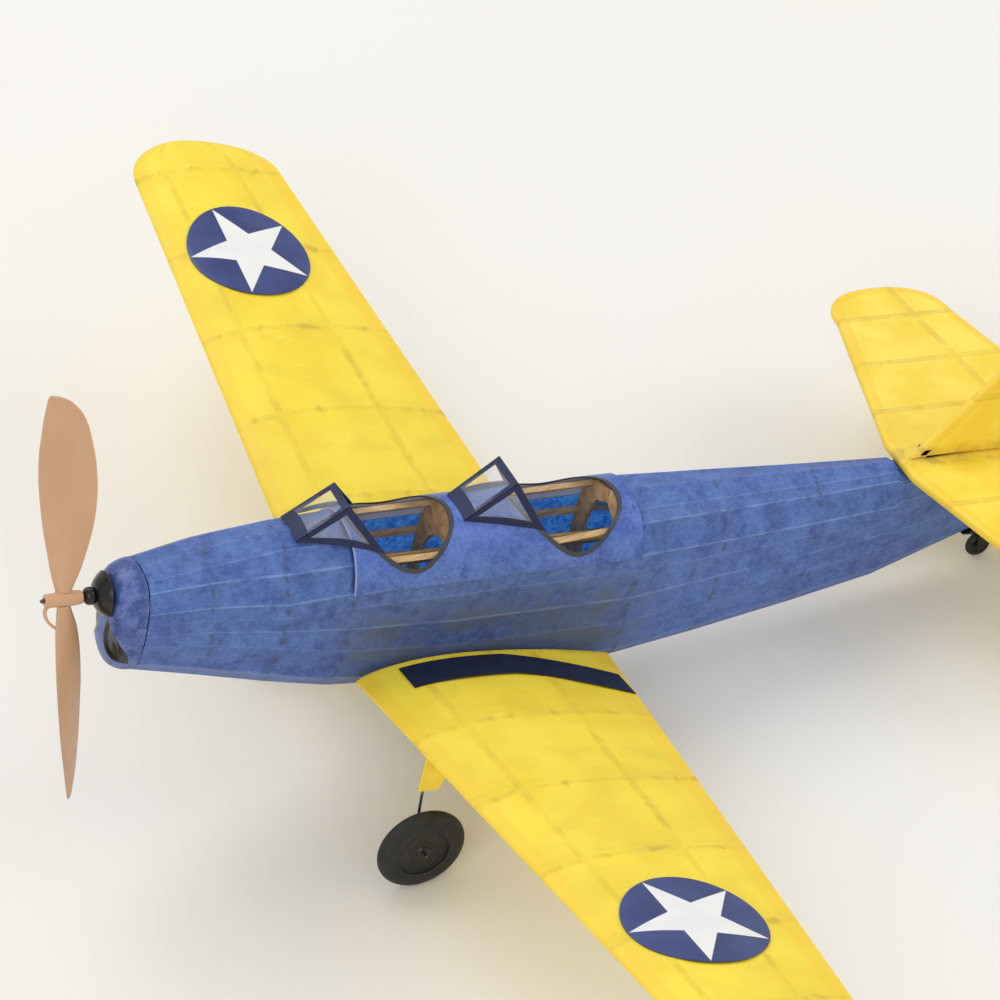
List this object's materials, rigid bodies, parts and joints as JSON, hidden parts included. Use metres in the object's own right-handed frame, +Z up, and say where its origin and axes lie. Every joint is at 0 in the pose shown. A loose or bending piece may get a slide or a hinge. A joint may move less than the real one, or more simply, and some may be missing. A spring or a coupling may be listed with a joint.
{
  "type": "rubber band plane",
  "caption": "Low-wing two-seat stick-and-tissue model aeroplane with open cockpits, windscreens, fixed landing gear and a freewheeling propeller driven by rubber.",
  "frame": {"origin": "centre of the box on the ground plane, with the model standing on its three wheels", "axes": "+X aft, level with the ground; +Y to the right wing tip; +Z up"},
  "size_m": [0.3834, 0.4438, 0.1524],
  "materials": {
    "blue_tissue": "matt, mottled dye over thin tissue",
    "blue_card": "satin painted card and balsa",
    "yellow_tissue": "matt, slightly translucent tissue",
    "yellow_card": "matt painted balsa sheet",
    "navy_paper": "matt printed paper",
    "insignia_paper": "matt printed paper",
    "clear_acetate": "clear, thin",
    "tan_plastic": "semi-gloss moulded",
    "black_plastic": "gloss moulded",
    "wheel_rubber": "matt",
    "steel_wire": "dull drawn wire",
    "motor_rubber": "matt strip",
    "hardwood": "bare dowel",
    "balsa": "bare, matt"
  },
  "bodies": {
    "airframe": {"bottom_keel": "balsa", "cockpit_deck": "blue_card", "fin_frame": "balsa", "fin_left_tissue": "yellow_tissue", "fin_right_tissue": "yellow_tissue", "former_1": "balsa", "former_2": "balsa", "former_3": "balsa", "former_4": "balsa", "former_5": "balsa", "former_6": "balsa", "former_7": "balsa", "former_8": "balsa", "former_9": "balsa", "front_windscreen_frame": "navy_paper", "front_windscreen_pane": "clear_acetate", "fuselage_covering": "blue_tissue", "left_gear_fairing": "yellow_card", "left_gear_leg": "steel_wire", "left_leading_edge": "balsa", "left_lower_stringer": "balsa", "left_roundel": "insignia_paper", "left_side_stringer": "balsa", "left_trailing_edge": "balsa", "left_upper_longeron": "balsa", "left_walkway": "navy_paper", "left_wing_covering": "yellow_tissue", "left_wing_ribs": "balsa", "rear_deck_stringer": "balsa", "rear_windscreen_frame": "navy_paper", "rear_windscreen_pane": "clear_acetate", "right_gear_fairing": "yellow_card", "right_gear_leg": "steel_wire", "right_leading_edge": "balsa", "right_lower_stringer": "balsa", "right_roundel": "insignia_paper", "right_side_stringer": "balsa", "right_trailing_edge": "balsa", "right_upper_longeron": "balsa", "right_walkway": "navy_paper", "right_wing_covering": "yellow_tissue", "right_wing_ribs": "balsa", "rubber_motor": "motor_rubber", "stabiliser_bottom_tissue": "yellow_tissue", "stabiliser_frame": "balsa", "stabiliser_top_tissue": "yellow_tissue", "tail_wheel_strut": "black_plastic"},
    "nose": {"nose_block": "blue_card", "nose_button": "black_plastic"},
    "shaft": {"prop_shaft": "steel_wire", "thrust_bead": "black_plastic"},
    "propeller": {"propeller": "tan_plastic"},
    "left_wheel": {"left_main_wheel": "wheel_rubber"},
    "right_wheel": {"right_main_wheel": "wheel_rubber"},
    "rear_wheel": {"tail_wheel": "wheel_rubber"},
    "peg": {"motor_peg": "hardwood"}
  },
  "joints": [
    {"name": "nose_pull", "type": "slide", "parent": "airframe", "child": "nose", "axis": [-0.9736, 0, 0.2282], "range_m": [0, 0.02], "deforming": ["rubber_motor"]},
    {"name": "shaft_spin", "type": "hinge", "parent": "nose", "child": "shaft", "pos_m": [-0.1569, 0, 0.09492], "axis": [-0.9736, 0, 0.2282], "continuous": true, "deforming": ["rubber_motor"]},
    {"name": "propeller_freewheel", "type": "hinge", "parent": "shaft", "child": "propeller", "pos_m": [-0.17851, 0, 0.09999], "axis": [-0.9736, 0, 0.2282], "continuous": true},
    {"name": "left_wheel_spin", "type": "hinge", "parent": "airframe", "child": "left_wheel", "pos_m": [-0.09472, -0.0568, 0.014], "axis": [0, 1, 0], "continuous": true},
    {"name": "right_wheel_spin", "type": "hinge", "parent": "airframe", "child": "right_wheel", "pos_m": [-0.09472, 0.0568, 0.014], "axis": [0, 1, 0], "continuous": true},
    {"name": "tail_wheel_spin", "type": "hinge", "parent": "airframe", "child": "rear_wheel", "pos_m": [0.12591, 0, 0.0044], "axis": [0, 1, 0], "continuous": true},
    {"name": "peg_pull", "type": "slide", "parent": "airframe", "child": "peg", "axis": [0, -1, 0], "range_m": [0, 0.02], "deforming": ["rubber_motor"]}
  ]
}
